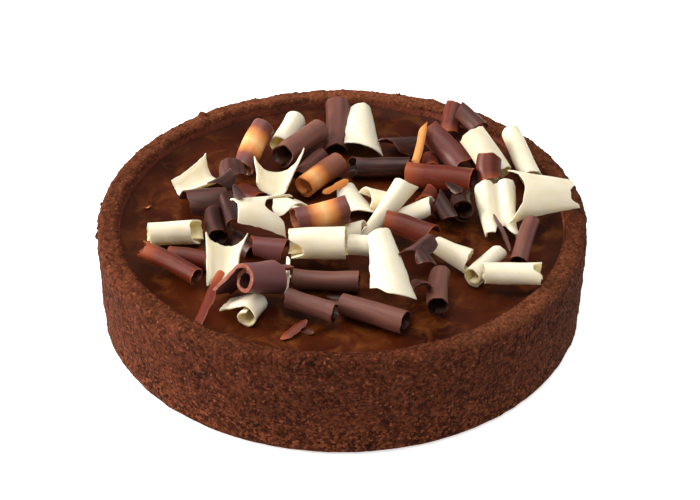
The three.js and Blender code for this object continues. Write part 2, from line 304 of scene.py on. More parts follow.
crust = {
    "radius": 45,
    "height": 20,
    "wall": 4.2,
    "lean": 0.4,
    "floor": 4,
    "outerEdge": 1.3,
    "innerEdge": 1.3,
    "footEdge": 1.1,
    "around": 880,
    "rowStep": 0.3,
    # depth and size of the relief
    "lump": (0.26, 2.3),
    "swell": (0.35, 16),       # rise and fall of the rim
    "grain": (0.1, 0.62),
    "sand": (0.1, 0.36),
    "pit": (0.14, 1.1),
    "finePit": (0.6, 0.5),
    "pitFrom": (0.62, 1.15),   # how high the pits' noise has to be for a pit to start, and to be full
    "underPit": 0.12,          # depth of the pits in the underside
    "dome": 0.75,              # how far a grain reaches, in cells
    "grainShare": (0.35, 0.65),  # the lowest grain, and how much higher the highest is
    "grainOnWall": 0.6,        # the rest only on the rim
    "sandOnRim": 0.4,          # more than on the wall
    # bands of the shell, by depth below the rim: where each starts and where it is full
    "rimBand": (2.6, 0.6),
    "toastBand": (1.2, 0.3),
    "shownBand": (4.2, 2.5),   # the lowest part of the inner wall that shows
    "filmBand": (0.5, 1.3),
    "innerBand": (-0.4, 1.5),  # how far out from the inner wall
    "lowBand": (9, 2),         # height above the underside
    "filmSmooth": 0.75,        # how much of the relief the skin of ganache fills
    # how light the crust is on the whole, and what each part of the relief adds; the darkening in the pits
    # and between the grains is painted shade
    "shade": {"all": 0.46, "grain": 0.35, "sand": 0.1, "pit": -0.42, "middle": 0.4},
    "dark": "#250e06",
    "brown": "#3c1a0c",
    "warm": "#6c3722",
    "tan": "#8f553a",
    "darkFleckAndPitShade": "#190904",
    "toast": "#7c4427",        # the flecks low on the wall
    "film": "#834839",         # the skin of ganache on the inner wall
    # how strongly the rim is tinted tan, by direction round the tart (degrees): toasting, and painted light
    # that makes the rim lighter at the back and darker at the front
    "toastAndPaintedLight": [(-180, 0.6), (-125, 0.4), (-95, 0), (-72, 0.3), (-45, 1.5), (0, 0.3), (90, 1.8), (180, 0.6)],
    "roughness": 0.9,
    "specular": 0.06,
}
innerRadius = crust["radius"] - crust["wall"]


def belowRim(z, band):
    return fade(z, crust["height"] - band[0], crust["height"] - band[1])


def crustProfile():
    radius, height, step = crust["radius"], crust["height"], crust["rowStep"]
    outer, inner, footEdge = crust["outerEdge"], crust["innerEdge"], crust["footEdge"]
    foot = radius - crust["lean"]
    hiddenRise = 16.2       # the inner wall is only seen above this
    hiddenStep = 10
    hiddenRing = 20
    middle = 6              # radius of the discs that close the base above and below
    rows = [(middle, 0)] + lineRows((middle, 0), (foot - footEdge, 0), 7)
    rows += arcRows(foot - footEdge, footEdge, footEdge, -90, 0, 6)[1:]
    rows += lineRows((foot, footEdge), (radius, height - outer), round((height - outer - footEdge) / step))
    rows += arcRows(radius - outer, height - outer, outer, 0, 90, 10)[1:]
    rows += lineRows((radius - outer, height), (innerRadius + inner, height), 4)
    rows += arcRows(innerRadius + inner, height - inner, inner, 90, 180, 7)[1:]
    rows += lineRows((innerRadius, height - inner), (innerRadius, hiddenRise), 9)
    rows += [(innerRadius, hiddenStep)]
    rows += [(r, crust["floor"]) for r in (innerRadius, hiddenRing, middle)]
    return np.array(rows)


def crustMaterial():
    look = Finish("cocoaShortcrust", Specular_IOR_Level=crust["specular"])
    place = look.place()
    relief = look.value("relief")
    slow = look.noise(place, 110, 3, 0.6)
    lump = look.noise(place, 760, 3, 0.65)
    sandy = look.noise(place, 1900, 3, 0.75)
    colour = look.mix(look.span(slow, 0.36, 0.64), crust["dark"], crust["brown"])
    colour = look.mix(look.span(lump, 0.46, 0.68, 0, 0.5), colour, crust["warm"])
    grain = look.add("ShaderNodeTexVoronoi", {"Vector": place, "Scale": 2300, "Randomness": 1.0})
    own = look.add("ShaderNodeSeparateColor", {"Color": grain.outputs["Color"]})
    colour = look.mix(look.span(own.outputs[0], 0.35, 1.0, 0, 0.6), colour, crust["warm"])
    flecks = look.maths("MULTIPLY", look.value("low"), look.span(own.outputs[0], 0.55, 1.0, 0, 0.7))
    colour = look.mix(flecks, colour, crust["toast"])
    # random dark flecks, in the same colour that paints shade into the pits
    colour = look.mix(look.span(own.outputs[1], 0.6, 1.0, 0, 0.6), colour, crust["darkFleckAndPitShade"])
    colour = look.mix(look.span(own.outputs[2], 0.94, 1.0, 0, 0.5), colour, crust["tan"])
    # painted shade: darker where the fine sand bump dips
    colour = look.mix(look.span(sandy, 0.42, 0.26, 0, 0.45), colour, crust["darkFleckAndPitShade"])
    # by the relief value: tan on raised grains, and painted shade, darker in the pits and between the grains;
    # on the crumbs this value is each crumb's own lightness
    colour = look.mix(look.span(relief, 0.55, 0.9, 0, 0.25), colour, crust["tan"])
    colour = look.mix(look.span(relief, 0.32, 0.08, 0, 0.3), colour, crust["darkFleckAndPitShade"])
    # tan on the rim: toasting, and painted light, lighter at the back of the rim and darker at the front
    rimToastAndPaintedLightTint = look.maths("MULTIPLY", look.value("rim"), look.span(own.outputs[2], 0, 1.0, 0.1, 0.4))
    colour = look.mix(rimToastAndPaintedLightTint, colour, crust["tan"])
    colour = look.mix(look.span(look.value("inside"), 0, 1, 0, 0.85), colour, crust["film"])
    crumb = look.bump(lump, 0.2, 0.5)
    crumb = look.bump(grain.outputs["Distance"], -0.12, 0.6, crumb)
    crumb = look.bump(sandy, 0.2, 0.8, crumb)
    rough = look.span(sandy, 0.3, 0.7, crust["roughness"] - 0.1, crust["roughness"] + 0.08)
    return look.finish(Base_Color=colour, Roughness=rough, Normal=crumb)


def makeCrust(material):
    profile = crustProfile()
    points = turnedPoints(profile, crust["around"])
    flat = points.reshape(-1, 3)
    x, y, z = flat.T
    r = np.hypot(x, y)
    slope = np.gradient(profile, axis=0)
    normal = np.stack([slope[:, 1], -slope[:, 0]], -1)
    normal /= np.linalg.norm(normal, axis=1, keepdims=True)
    outR = np.repeat(normal[:, 0], crust["around"])
    outZ = np.repeat(normal[:, 1], crust["around"])

    onWall = fade(r, innerRadius, crust["radius"]) * fade(z, 0, crust["footEdge"])
    pastInner = fade(r - innerRadius, *crust["innerBand"])
    onRim = belowRim(z, crust["rimBand"]) * pastInner
    # the rim's tan tint: toasting near its top, and painted light by direction round the tart
    rimToastAndPaintedLight = belowRim(z, crust["toastBand"]) * pastInner
    around, toastAndPaintedLight = np.array(crust["toastAndPaintedLight"]).T
    rimToastAndPaintedLight *= np.interp(np.degrees(np.arctan2(y, x)), around, toastAndPaintedLight)
    low = fade(z, *crust["lowBand"])
    facesInwards = fade(-outR, 0.3, 0.9)
    inside = facesInwards * fade(crust["height"] - z, *crust["filmBand"])
    shown = np.maximum(onWall, belowRim(z, crust["shownBand"]))

    lump = crust["lump"][0] * softNoise(flat, crust["lump"][1])
    gap, own = grainNoise(flat, crust["grain"][1])
    lowest, spread = crust["grainShare"]
    dome = np.sqrt(np.clip(1 - (gap / crust["dome"]) ** 2, 0, 1)) * (lowest + spread * own)
    sand = softNoise(flat, crust["sand"][1], 3)
    fineShare, fineSize = crust["finePit"]
    hollow = softNoise(flat, crust["pit"][1], 5) + fineShare * softNoise(flat, fineSize, 6)
    hollow = fade(hollow, *crust["pitFrom"])
    out = lump + crust["grain"][0] * dome * (crust["grainOnWall"] + (1 - crust["grainOnWall"]) * onRim)
    out += crust["sand"][0] * sand * (1 + crust["sandOnRim"] * onRim)
    out = (out - crust["pit"][0] * hollow) * shown * (1 - crust["filmSmooth"] * inside)
    swell = crust["swell"][0] * softNoise(np.stack([x, y, 0 * z], 1), crust["swell"][1]) * onRim
    away = np.divide(1, r, out=np.ones_like(r), where=r > 0)
    made = flat + np.stack([x * away * out * outR, y * away * out * outR, out * outZ + swell], 1)
    made[:, 2] = np.where(z < 0.01, crust["underPit"] * hollow, np.maximum(made[:, 2], 0))
    made = np.vstack([made, [[0, 0, 0], [0, 0, crust["floor"]]]])
    shade = crust["shade"]
    # the pits' share darkens the colour there: painted shade in the pits
    relief = shade["all"] + shade["grain"] * (dome - 0.5) + shade["sand"] * sand + shade["pit"] * hollow
    values = {
        "relief": np.append(relief, [shade["middle"]] * 2),
        "rim": np.append(rimToastAndPaintedLight, [0, 0]),
        "inside": np.append(inside, [0, 0]),
        "low": np.append(low, [0, 0]),
    }
    faces = turnedFaces(len(profile), crust["around"])
    return makePiece("shortcrust_shell", made, faces, material, "crust", ("crust",), **values)


shortcrust = crustMaterial()
crustPiece = makeCrust(shortcrust)
print("crust made:", len(crustPiece.data.polygons), "faces")

crumbs = {
    "count": 1200,
    "seed": 11,
    "size": (0.12, 0.3),
    "fewLarge": 2.5,         # the higher, the fewer are near the largest size
    "onRim": 2.2,            # how much denser they lie on the rim than on the wall
    "lowest": 0.8,           # none lie below this height
    "reachIn": (0.5, 1.5),   # how far past the inner wall they lie, and how far in from the outer one
    "sunk": 0.3,
    "uneven": 0.4,
    "lumps": 1.4,            # how many lumps lie along its radius
    "stretch": (0.65, 1.15),
    "shade": (0.3, 0.92),    # how light each is
    "toast": 0.3,            # how much of the rim's toasting they have
    "roundFrom": 1.2,        # the large ones follow the rim's rounding from this far below it
    # direction round the tart (degrees), height and size of the largest
    "large": [(184.5, 17.2, 0.85), (-20.5, 10.2, 0.75), (129, 19.9, 0.9), (233, 19.6, 0.6), (300, 18.8, 0.6),
              (12, 19.3, 0.65), (75, 20, 0.6), (205, 12, 0.55), (262, 8, 0.5)],
}


def grainShape():
    ball = bmesh.new()
    bmesh.ops.create_icosphere(ball, subdivisions=2, radius=1)
    ball.verts.index_update()
    points = np.array([v.co for v in ball.verts])
    faces = np.array([[v.index for v in face.verts] for face in ball.faces])
    ball.free()
    return points, faces


def makeCrumbs(shell, material):
    # broken grains sunk a little into the crust, densest on the rim
    draw = np.random.RandomState(crumbs["seed"])
    count = len(shell.data.vertices)
    spots = np.zeros(3 * count, np.float32)
    shell.data.vertices.foreach_get("co", spots)
    spots = spots.reshape(-1, 3) / mm
    faceOut = np.zeros(3 * count, np.float32)
    shell.data.vertex_normals.foreach_get("vector", faceOut)
    faceOut = faceOut.reshape(-1, 3)
    r = np.hypot(spots[:, 0], spots[:, 1])
    onRim = belowRim(spots[:, 2], crust["rimBand"])
    pastInner, pastOuter = crumbs["reachIn"]
    outside = (r > crust["radius"] - pastOuter) | (onRim > 0)
    shows = (r > innerRadius - pastInner) & (spots[:, 2] > crumbs["lowest"]) & outside
    weight = shows * (1 + crumbs["onRim"] * onRim)
    chosen = draw.choice(count, crumbs["count"], replace=False, p=weight / weight.sum())
    low, high = crumbs["size"]
    sizes = low + (high - low) * draw.rand(len(chosen)) ** crumbs["fewLarge"]
    for direction, height, size in crumbs["large"]:
        angle = math.radians(direction)
        reach = crust["radius"] - max(0, height - crust["height"] + crumbs["roundFrom"])
        target = np.array([reach * math.cos(angle), reach * math.sin(angle), height])
        nearest = np.argmin(np.linalg.norm(spots - target, axis=1))
        chosen = np.append(chosen, nearest)
        sizes = np.append(sizes, size)
    ball, ballFaces = grainShape()
    points = []
    for spot, out, size in zip(spots[chosen], faceOut[chosen], sizes):
        lumpy = 1 + crumbs["uneven"] * softNoise(ball * crumbs["lumps"] + 9 * draw.rand(3), 1)[:, None]
        turn = np.array(Quaternion(draw.normal(size=4)).normalized().to_matrix())
        grain = (ball * lumpy * draw.uniform(*crumbs["stretch"], 3)) @ turn.T
        points.append(spot - out * size * crumbs["sunk"] + grain * size)
    faces = np.concatenate([ballFaces + i * len(ball) for i in range(len(points))]).tolist()
    shade = np.repeat(draw.uniform(*crumbs["shade"], len(points)), len(ball))
    return makePiece("crust_crumbs", np.concatenate(points), faces, material, "crust",
                     relief=shade, rim=crumbs["toast"])


crumbPiece = makeCrumbs(crustPiece, shortcrust)
print("crumbs made:", len(crumbPiece.data.polygons), "faces")


ganache = {
    "belowRim": 2.9,
    "climb": 1.0,
    "climbWidth": 4.2,
    "intoWall": 0.15,        # the filling reaches this far into the crumb of the wall
    "offBase": 0.3,          # it lies this far above the base, as its solid does
    "hidden": 12,            # radius and height of the rings that don't show
    "around": 300,
    "rings": 84,
    "closerOut": 1.25,       # the higher, the closer the rings are at the wall
    "lap": ((0.25, 5), (0.12, 1.4)),  # how far and how finely the edge of the band rises and falls
    "climbCurve": 2.2,
    "ripple": (0.12, 11),    # the settled waves
    "dimple": (0.035, 3.2),
    "dark": "#2e0d04",
    "brown": "#4d200c",
    "amber": "#824a1c",
    "film": "#35170b",       # the dull skin that climbs the wall, darker: painted shade where the filling meets the wall
    "roughness": 0.36,
    "specular": 0.07,
}


def ganacheMaterial():
    look = Finish("ganache", Specular_IOR_Level=ganache["specular"])
    place = look.place()
    climb = look.value("climb")
    slow = look.noise(place, 70, 3, 0.55, 0.4)
    cloud = look.noise(place, 210, 4, 0.6, 0.6)
    colour = look.mix(look.span(slow, 0.36, 0.62), ganache["dark"], ganache["brown"])
    colour = look.mix(look.span(cloud, 0.5, 0.75, 0, 0.6), colour, ganache["amber"])
    # darker towards the wall: painted shade along the filling's edge, on a duller skin
    colour = look.mix(look.span(climb, 0.0, 0.9, 0, 0.55), colour, ganache["film"])
    rough = look.span(cloud, 0.3, 0.7, ganache["roughness"] - 0.08, ganache["roughness"] + 0.1)
    rough = look.maths("ADD", rough, look.span(climb, 0.0, 1.0, 0, 0.16))
    skin = look.bump(cloud, 0.12, 0.5)
    skin = look.bump(look.noise(place, 900, 3, 0.6), 0.03, 0.6, skin)
    return look.finish(Base_Color=colour, Roughness=rough, Normal=skin)


def ganacheLevel(x, y):
    # height of the flat filling at a point, without the band that climbs the wall
    spot = np.stack([x, y, 0 * x], -1)
    wave = ganache["ripple"][0] * softNoise(spot, ganache["ripple"][1])
    dimple = ganache["dimple"][0] * softNoise(spot, ganache["dimple"][1], 2)
    return crust["height"] - ganache["belowRim"] + wave + dimple


def makeGanache():
    edge = innerRadius + ganache["intoWall"]
    bottom = crust["floor"] + ganache["offBase"]
    hidden = ganache["hidden"]
    share = np.linspace(0, 1, ganache["rings"])[1:]
    radii = edge * (1 - (1 - share) ** ganache["closerOut"])
    rows = [(hidden, bottom), (edge, bottom), (edge, hidden)]
    rows += [(r, crust["height"]) for r in radii[::-1]]
    profile = np.array(rows)
    points = turnedPoints(profile, ganache["around"]).reshape(-1, 3)
    x, y, z = points.T
    r = np.hypot(x, y)
    onTop = z == crust["height"]
    climb = np.clip((r - (edge - ganache["climbWidth"])) / ganache["climbWidth"], 0, 1)
    flat = np.stack([x, y, 0 * x], -1)
    lap = sum(depth * softNoise(flat, size, seed) for seed, (depth, size) in enumerate(ganache["lap"], 8))
    height = ganacheLevel(x, y) + (ganache["climb"] + lap) * climb ** ganache["climbCurve"]
    points[:, 2] = np.where(onTop, height, z)
    middle = ganacheLevel(np.zeros(1), np.zeros(1))[0]
    points = np.vstack([points, [[0, 0, bottom], [0, 0, middle]]])
    climb = np.append(climb * onTop, [0, 0])
    faces = turnedFaces(len(profile), ganache["around"])
    return makePiece("ganache_filling", points, faces, ganacheMaterial(), "ganache", ("ganache",),
                     climb=climb)


ganachePiece = makeGanache()
print("ganache made:", len(ganachePiece.data.polygons), "faces")


# chocolate for the curls: glow is how much light passes through it, and dull how much rougher it is on the
# scrape lines
white = {
    "cream": "#f2e4c6",
    # the yellow of painted shade along the facets of the roll
    "facetShadeButter": "#f5e3b2",
    "milkWhite": "#f6ebd5",
    # the yellow of painted shade inside the roll
    "hollow": "#f2dfa6",
    "roughness": 0.45,
    "dull": 0.08,
    "specular": 0.22,
    "glow": 0.45,
    "glowRadius": (1.0, 0.85, 0.6),
    "glowDepth": 1.8,
}
dark = {
    "base": "#432521",
    "bloom": "#7d5146",
    # dark patches and low tones, and painted shade inside the roll
    "deepToneAndHollowShade": "#200e0a",
    # painted glow along the thin edges, as light shining through them
    "edge": "#7a4233",
    "roughness": 0.38,
    "dull": 0.1,
    "specular": 0.26,
}
milk = {
    "base": "#4d1e14",
    # the chocolate's own purple tones, and at the lowest tone a painted lilac sheen
    "purple": "#75494a",
    "red": "#672411",
    # dark patches, and painted shade inside the roll
    "deepToneAndHollowShade": "#32130c",
    # painted glow along the thin edges and at the glowing end
    "edge": "#a0502b",
    "roughness": 0.38,
    "dull": 0.1,
    "specular": 0.26,
}
caramel = {
    "middle": "#e08e49",
    "light": "#f7bf80",
    "end": "#804232",
    "purple": "#653c3c",
    # painted glow along the thin edges, and painted shade inside the roll
    "edge": "#bf6d36",
    "ragged": 0.035,         # how unevenly the band ends
    "roughness": 0.42,
    "dull": 0.1,
    "specular": 0.35,
    "glow": 0.1,
    "glowRadius": (1.0, 0.5, 0.25),
    "glowDepth": 0.8,
}
skinDepth = 0.025            # of the scrape lines in every chocolate


def streaks(look):
    # fine scrape lines round the roll, broad facets along it, and cloudy patches
    scrape = look.noise(look.sheet(7, 0.25), 1, 3, 0.6)
    facet = look.noise(look.sheet(0.1, 0.9), 1, 2, 0.5, 0.3)
    cloud = look.noise(look.sheet(0.4, 0.5), 1, 3, 0.55)
    return scrape, facet, cloud


def curlFinish(look, chocolate, colour, scrape, facet):
    rough = chocolate["roughness"]
    rough = look.span(scrape, 0.3, 0.7, rough - 0.05, rough + chocolate["dull"])
    skin = look.bump(facet, skinDepth * 2, 0.5)
    skin = look.bump(scrape, skinDepth, 0.5, skin)
    return look.finish(Base_Color=colour, Roughness=rough, Normal=skin)


def glowing(name, chocolate):
    return Finish(name, Specular_IOR_Level=chocolate["specular"], Subsurface_Weight=chocolate["glow"],
                  Subsurface_Radius=chocolate["glowRadius"], Subsurface_Scale=chocolate["glowDepth"] * mm)


def whiteMaterial():
    look = glowing("whiteChocolate", white)
    scrape, facet, cloud = streaks(look)
    colour = look.mix(look.span(cloud, 0.35, 0.7), white["cream"], white["milkWhite"])
    # painted shade: yellower bands along the facets of the roll
    colour = look.mix(look.span(facet, 0.55, 0.8, 0, 0.5), colour, white["facetShadeButter"])
    # painted shade: the inner face of the roll yellower
    colour = look.mix(look.maths("MULTIPLY", look.value("inner"), 0.85), colour, white["hollow"])
    return curlFinish(look, white, colour, scrape, facet)


def darkMaterial():
    look = Finish("darkChocolate", Specular_IOR_Level=dark["specular"])
    scrape, facet, cloud = streaks(look)
    shade = look.maths("ADD", look.value("tone"), look.span(facet, 0.3, 0.7, -0.2, 0.2))
    colour = look.mix(look.span(shade, 0.1, 1.1), dark["base"], dark["bloom"])
    colour = look.mix(look.span(shade, 0.3, -0.1), colour, dark["deepToneAndHollowShade"])
    colour = look.mix(look.span(cloud, 0.56, 0.85, 0, 0.35), colour, dark["deepToneAndHollowShade"])
    # painted glow: the thin edges lighter, as light shining through them
    colour = look.mix(look.span(look.value("border"), 0.5, 1.0, 0, 0.45), colour, dark["edge"])
    # painted shade: the inner face of the roll near black
    colour = look.mix(look.maths("MULTIPLY", look.value("inner"), 0.85), colour, dark["deepToneAndHollowShade"])
    return curlFinish(look, dark, colour, scrape, facet)


def milkMaterial():
    look = Finish("milkChocolate", Specular_IOR_Level=milk["specular"])
    scrape, facet, cloud = streaks(look)
    tone = look.value("tone")
    # purple towards tone 0: the chocolate's own purple, and for the lowest tones a painted sheen
    colour = look.mix(look.span(tone, 0, 0.5), milk["purple"], milk["base"])
    colour = look.mix(look.maths("MULTIPLY", tone, look.span(cloud, 0.3, 0.65, 0.3, 1)), colour, milk["red"])
    colour = look.mix(look.span(facet, 0.5, 0.75, 0, 0.35), colour, milk["purple"])
    colour = look.mix(look.span(cloud, 0.6, 0.85, 0, 0.4), colour, milk["deepToneAndHollowShade"])
    # painted glow: the start end orange, as light shining through it, more for the redder tones
    glow = look.maths("MULTIPLY", tone, look.span(look.value("alongShare"), 0.0, 0.3, 0.85, 0))
    colour = look.mix(glow, colour, milk["edge"])
    # painted glow: the thin edges lighter, as light shining through them
    colour = look.mix(look.span(look.value("border"), 0.4, 1.0, 0, 0.65), colour, milk["edge"])
    # painted shade: the inner face of the roll darker
    colour = look.mix(look.maths("MULTIPLY", look.value("inner"), 0.55), colour, milk["deepToneAndHollowShade"])
    return curlFinish(look, milk, colour, scrape, facet)


def caramelMaterial():
    look = glowing("caramelChocolate", caramel)
    scrape, facet, cloud = streaks(look)
    uneven = look.span(cloud, 0, 1, -caramel["ragged"], caramel["ragged"])
    ragged = look.maths("ADD", look.value("alongShare"), uneven)
    band = look.ramp(ragged, (0.08, caramel["purple"]), (0.22, caramel["end"]), (0.36, caramel["middle"]),
                     (0.52, caramel["light"]), (0.68, caramel["middle"]), (0.84, caramel["end"]),
                     (0.96, caramel["purple"]))
    colour = look.mix(look.value("tone"), caramel["middle"], band)
    colour = look.mix(look.span(facet, 0.55, 0.85, 0, 0.15), colour, caramel["end"])
    # painted glow: the thin edges lighter, as light shining through them
    colour = look.mix(look.span(look.value("border"), 0.4, 1.0, 0, 0.45), colour, caramel["edge"])
    # painted shade: the inner face of the roll in the darker orange of the edges
    colour = look.mix(look.maths("MULTIPLY", look.value("inner"), 0.4), colour, caramel["edge"])
    return curlFinish(look, caramel, colour, scrape, facet)


chocolates = {
    "white": whiteMaterial(),
    "dark": darkMaterial(),
    "milk": milkMaterial(),
    "caramel": caramelMaterial(),
}

# the curls
sheetMake = {
    "thickness": 0.6,
    "pitch": 0.95,            # from one layer of a roll to the next
    "crease": 25,             # where the lobes of a double roll part (degrees)
    "solidStepsPerTurn": 10,  # of the plain solids in the frame
    "step": 0.32,             # of the mesh
    "fewestSteps": 12,
    "tear": (0.16, 1.7),      # depth and size of the torn ends
    "waver": (0.18, 2.6),     # of the long edges
    "fineWaver": (0.08, 0.7),
    "dent": (0.12, 3.4),
    "facet": (0.05, 1.3),
    "bow": 0.3,               # of the whole roll, at most
    "thinEdge": (0.4, 0.9),   # share of the thickness left at the edge, and how far in it starts
    "thin": (0.12, 1.6),      # how unevenly thick the sheet is
    "border": 0.5,            # width of the edge band with painted glow, as of light through the thin edge
    "rolledUp": 0.8,          # from this many turns the inner face is painted as in the shade
    "openInner": 0.2,         # how much of that painted shade an open sheet has
    "sharp": 50,              # edges from this angle are sharp (degrees)
    "widestTilt": 33,
    "tiltStep": 1,
    "misfit": 0.01,           # how far a curl's box may differ from its node's before a line says so
}
plainKind = {"startSlant": 0, "endSlant": 0, "startHorn": 0, "endHorn": 0, "waist": 0, "tail": 0, "lobes": 1,
             "sections": 1}
# how each kind of curl is rolled: turns round, how much wider its front end is, how far the ends slant and
# the corners stick out, how much narrower the sheet is half-way, how much of it lies straight beyond the
# roll (mm), from how many edges it is rolled in, and how many lengths the plain solid has
kinds = {
    "roll": {"turns": 1.15, "flare": 0.05, "startSlant": 0.6, "endSlant": -0.5},
    "cone": {"turns": 1.1, "flare": 0.4, "startSlant": -1, "endSlant": 1.5},
    "scroll": {"turns": 1.1, "flare": 0.1, "startSlant": 0.6, "endSlant": -1, "tail": 5},
    "double": {"turns": 1.1, "flare": -0.25, "startSlant": 1, "endSlant": -2, "lobes": 2},
    "leaf": {"turns": 0.3, "flare": 0.9, "startSlant": 1, "endSlant": -2.5, "endHorn": -1, "sections": 2},
    "fan": {"turns": 0.62, "flare": 0.9, "startSlant": 1, "endSlant": 1.5, "endHorn": 0.8, "sections": 2},
    "horned": {"turns": 0.42, "flare": 0.7, "startSlant": 1, "endSlant": -2, "endHorn": 2.4, "waist": 0.1,
               "sections": 2},
    "forked": {"turns": 0.5, "flare": 0.5, "startSlant": 1, "endSlant": -3, "endHorn": 1.3, "waist": 0.1,
               "sections": 2},
    "star": {"turns": 0.42, "flare": 0.15, "startSlant": -1, "startHorn": 1, "endHorn": 1.6, "waist": 0.25,
             "sections": 2},
    "wing": {"turns": 1.2, "flare": -0.15, "startSlant": 5, "endSlant": 2, "tail": 8},
    "half": {"turns": 0.55, "flare": 0.1, "startSlant": 1.6, "endSlant": -1.2},
    "flake": {"turns": 0.34, "flare": 0.1, "startSlant": 2.5, "endSlant": -1.5, "waist": -0.3, "sections": 2},
    "sliver": {"turns": 0.2, "flare": 0.1, "startSlant": 0.5, "startHorn": -1.2, "endHorn": -0.9},
}
# pieces broken out of an end: which end, how deep (mm), where round the sheet (0 to 1) and how much of it
bites = {
    "white_shaving_16": ("end", 2.0, 0.62, 0.3),
    "white_shaving_27": ("end", 3.4, 0.45, 0.36),
    "white_shaving_40": ("start", 2.4, 0.72, 0.12),
    "white_shaving_51": ("end", 1.3, 0.55, 0.12),
    "white_shaving_41": ("end", 1.2, 0.62, 0.3),
    "white_shaving_45": ("end", 2.2, 0.5, 0.16),
    "white_shaving_43": ("end", 1.2, 0.9, 0.3),
    "white_shaving_46": ("start", 1.6, 0.4, 0.3),
    "dark_shaving_31": ("start", 1.2, 0.62, 0.3),
    "dark_shaving_05": ("start", 1.3, 0.6, 0.25),
    "milk_shaving_18": ("start", 1.4, 0.6, 0.2),
    "dark_shaving_57": ("end", 1.0, 0.35, 0.2),
}
# curls with thick cut edges: the share of the thickness that is left there
thickEdges = {"milk_shaving_56": 1.15}
# curls whose coloured band lies towards an end: how far (share of the length)
bandShift = {"caramel_shaving_28": 0.3}
# node: kind, heading of the front end, spin about the roll (degrees), length, radius (mm), tone from 0 to 1
curls = {
    "dark_shaving_01": ("half", 88, 0, 16, 2.6, 0.6),
    "white_shaving_02": ("leaf", -90, -10, 16.5, 2.7, 0.5),
    "dark_shaving_03": ("flake", 30, 0, 7, 2.8, 0.2),
    "white_shaving_04": ("roll", 72, 0, 9.5, 2.5, 0.5),
    "dark_shaving_05": ("roll", 50, 0, 12, 2.6, 0.95),
    "caramel_shaving_06": ("roll", 68, 0, 10.5, 2.6, 1),
    "milk_shaving_07": ("half", 90, 0, 4, 1.8, 0.7),
    "milk_shaving_08": ("half", -50, 0, 11, 2.7, 0.3),
    "caramel_shaving_09": ("flake", -105, 45, 7.5, 1.2, 0),
    "milk_shaving_10": ("half", 75, 0, 7, 2, 0.9),
    "dark_shaving_11": ("half", -45, 0, 6, 2, 0.4),
    "white_shaving_12": ("roll", -54, 0, 9.8, 3.1, 0.5),
    "white_shaving_13": ("roll", -75, 0, 13, 2.4, 0.5),
    "white_shaving_14": ("horned", 38, 180, 8.5, 2.6, 0.5),
    "dark_shaving_15": ("half", 10, 0, 7.5, 3.1, 0.3),
    "white_shaving_16": ("roll", 5, 0, 9.7, 2.5, 0.5),
    "milk_shaving_17": ("roll", -15, 0, 7.2, 2.1, 0.5),
    "milk_shaving_18": ("roll", -36, 0, 13, 2, 0.9),
    "milk_shaving_19": ("half", -40, 0, 5.5, 2.4, 0.8),
    "dark_shaving_20": ("flake", 100, 0, 5.4, 2.5, 0.3),
    "dark_shaving_21": ("roll", -80, 0, 8, 2.3, 0.15),
    "dark_shaving_22": ("half", -50, 0, 6, 2, 0.2),
    "dark_shaving_23": ("half", -78, 60, 9, 1.8, 0.15),
    "milk_shaving_24": ("half", -8, 0, 6.3, 2.3, 0.15),
    "dark_shaving_25": ("roll", 60, 0, 9, 1.9, 0.4),
    "white_shaving_26": ("forked", 85, 180, 8.2, 3.1, 0.5),
    "white_shaving_27": ("horned", 14, 20, 8.2, 2.8, 0.5),
    "caramel_shaving_28": ("roll", 52, 0, 10.6, 2.5, 0.85),
    "white_shaving_29": ("leaf", -75, 0, 11, 2.4, 0.5),
    "white_shaving_30": ("half", 10, 0, 6, 2.4, 0.5),
    "dark_shaving_31": ("roll", 0, 0, 11.2, 2.3, 0.15),
    "milk_shaving_32": ("half", -70, 40, 5, 1.8, 1),
    "white_shaving_33": ("half", 5, 0, 8, 2, 0.5),
    "white_shaving_34": ("fan", 50, 0, 13, 1.3, 0.5),
    "white_shaving_35": ("half", 0, 0, 6.6, 2, 0.5),
    "caramel_shaving_36": ("roll", 20, 0, 10, 2.8, 1),
    "milk_shaving_37": ("roll", -20, 0, 13, 2.8, 0.9),
    "dark_shaving_38": ("roll", -92, 0, 7, 2.4, 0.05),
    "milk_shaving_39": ("half", -24, 0, 9.4, 2.4, 0.8),
    "white_shaving_40": ("roll", -2, 0, 10, 3.2, 0.5),
    "white_shaving_41": ("roll", -12, 0, 5.3, 2.2, 0.5),
    "dark_shaving_42": ("roll", -26, 0, 12, 2.4, 0.75),
    "white_shaving_43": ("leaf", -82, 0, 16.6, 2.7, 0.5),
    "milk_shaving_44": ("half", 90, 0, 5, 2.4, 0.7),
    "white_shaving_45": ("double", -86, 0, 13, 1.9, 0.5),
    "white_shaving_46": ("horned", 190, -30, 10.6, 3.2, 0.5),
    "dark_shaving_47": ("roll", -106, 0, 10.5, 2.1, 0.8),
    "dark_shaving_48": ("flake", 58, 0, 8, 2, 0.3),
    "white_shaving_49": ("cone", -32, 0, 7, 1.9, 0.5),
    "white_shaving_50": ("roll", -126, 0, 9, 2.1, 0.5),
    "white_shaving_51": ("roll", -3, 0, 10, 2.3, 0.5),
    "dark_shaving_52": ("roll", -95, 0, 10, 2.3, 0.9),
    "dark_shaving_53": ("flake", -78, 0, 7, 1.7, 0.3),
    "white_shaving_54": ("star", 88, 180, 7.2, 3.5, 0.5),
    "white_shaving_55": ("scroll", -113, 190, 5, 2, 0.5),
    "milk_shaving_56": ("wing", -138, 205, 8, 3.3, 0),
    "dark_shaving_57": ("roll", -27, 0, 9.4, 2.1, 0.7),
    "dark_shaving_58": ("roll", -4, 0, 11.8, 2.1, 0.85),
}


def rolledWidth(shape, radius):
    return shape["turns"] * 2 * math.pi * radius


